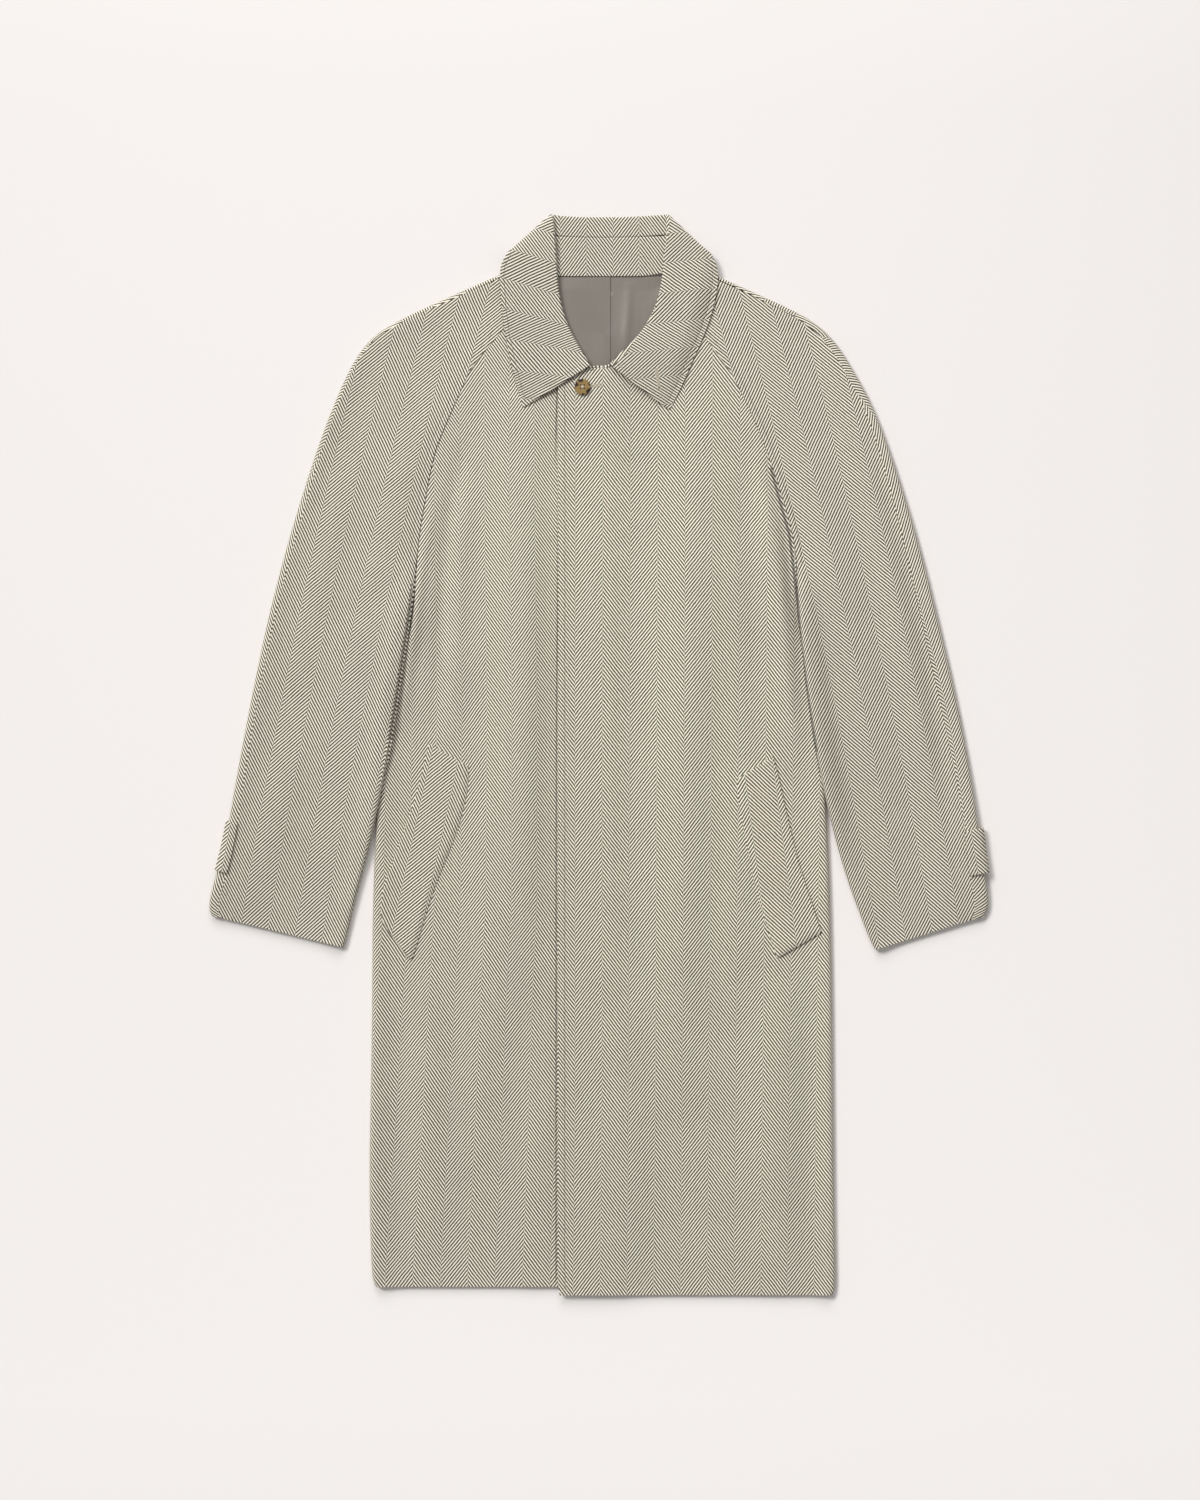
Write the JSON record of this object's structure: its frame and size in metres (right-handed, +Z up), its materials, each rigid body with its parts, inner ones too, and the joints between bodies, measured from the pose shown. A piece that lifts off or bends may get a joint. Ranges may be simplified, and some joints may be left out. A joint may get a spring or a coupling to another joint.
{
  "type": "balmacaan coat",
  "caption": "Raglan-sleeved balmacaan coat in herringbone tweed, laid flat and buttoned at the neck, with a turn-down collar, fly front, slanted welt pockets and cuff tabs.",
  "frame": {"origin": "on the surface that the coat lies on, under the middle of its outline", "axes": "+Z up out of the front of the coat, +Y from hem to collar, +X to the right of somebody who looks down at it"},
  "size_m": [0.8448, 1.1678, 0.0184],
  "materials": {
    "tweed": "woollen herringbone tweed, cream and brown, matt with a short nap",
    "lining": "grey-taupe satin lining, softly shiny",
    "button": "mottled tortoiseshell, polished"
  },
  "bodies": {
    "root": {"back": "tweed", "front_left": "tweed", "front_right": "tweed", "sleeve_front_left": "tweed", "sleeve_back_left": "tweed", "sleeve_front_right": "tweed", "sleeve_back_right": "tweed", "collar_fall": "tweed", "collar_stand": "tweed", "welt_left": "tweed", "welt_right": "tweed", "cuff_tab_left": "tweed", "cuff_tab_right": "tweed", "back_lining": "lining", "neck_button": "button"}
  },
  "joints": []
}
